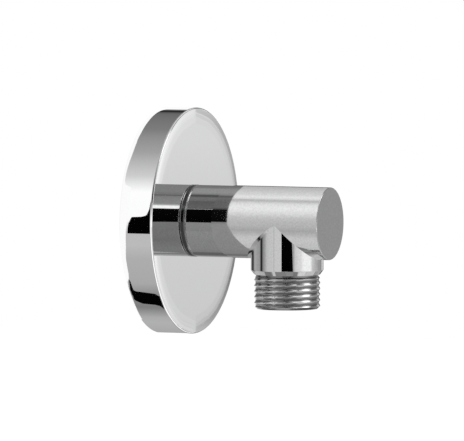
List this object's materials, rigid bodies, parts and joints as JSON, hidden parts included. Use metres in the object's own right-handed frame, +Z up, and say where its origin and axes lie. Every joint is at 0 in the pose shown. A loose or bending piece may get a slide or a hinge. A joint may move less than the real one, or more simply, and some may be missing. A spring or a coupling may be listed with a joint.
{
  "type": "wall outlet elbow",
  "caption": "Chrome wall outlet elbow for a shower hose: round rosette, straight barrel with a closed front, and a branch turned down with a male thread.",
  "frame": {"origin": "centre of the wall plane, on which the rosette's back edge lies, on the axis of the inlet thread and barrel", "axes": "+X out of the wall along the barrel, +Z up, the outlet points along -Z"},
  "size_m": [0.0667, 0.072, 0.072],
  "materials": {
    "body_chrome": "polished",
    "rosette_chrome": "polished",
    "seal_rubber": "matte"
  },
  "bodies": {
    "root": {"elbow_body": "body_chrome", "rosette": "rosette_chrome", "neck_ring": "seal_rubber", "wall_ring": "seal_rubber"}
  },
  "joints": []
}
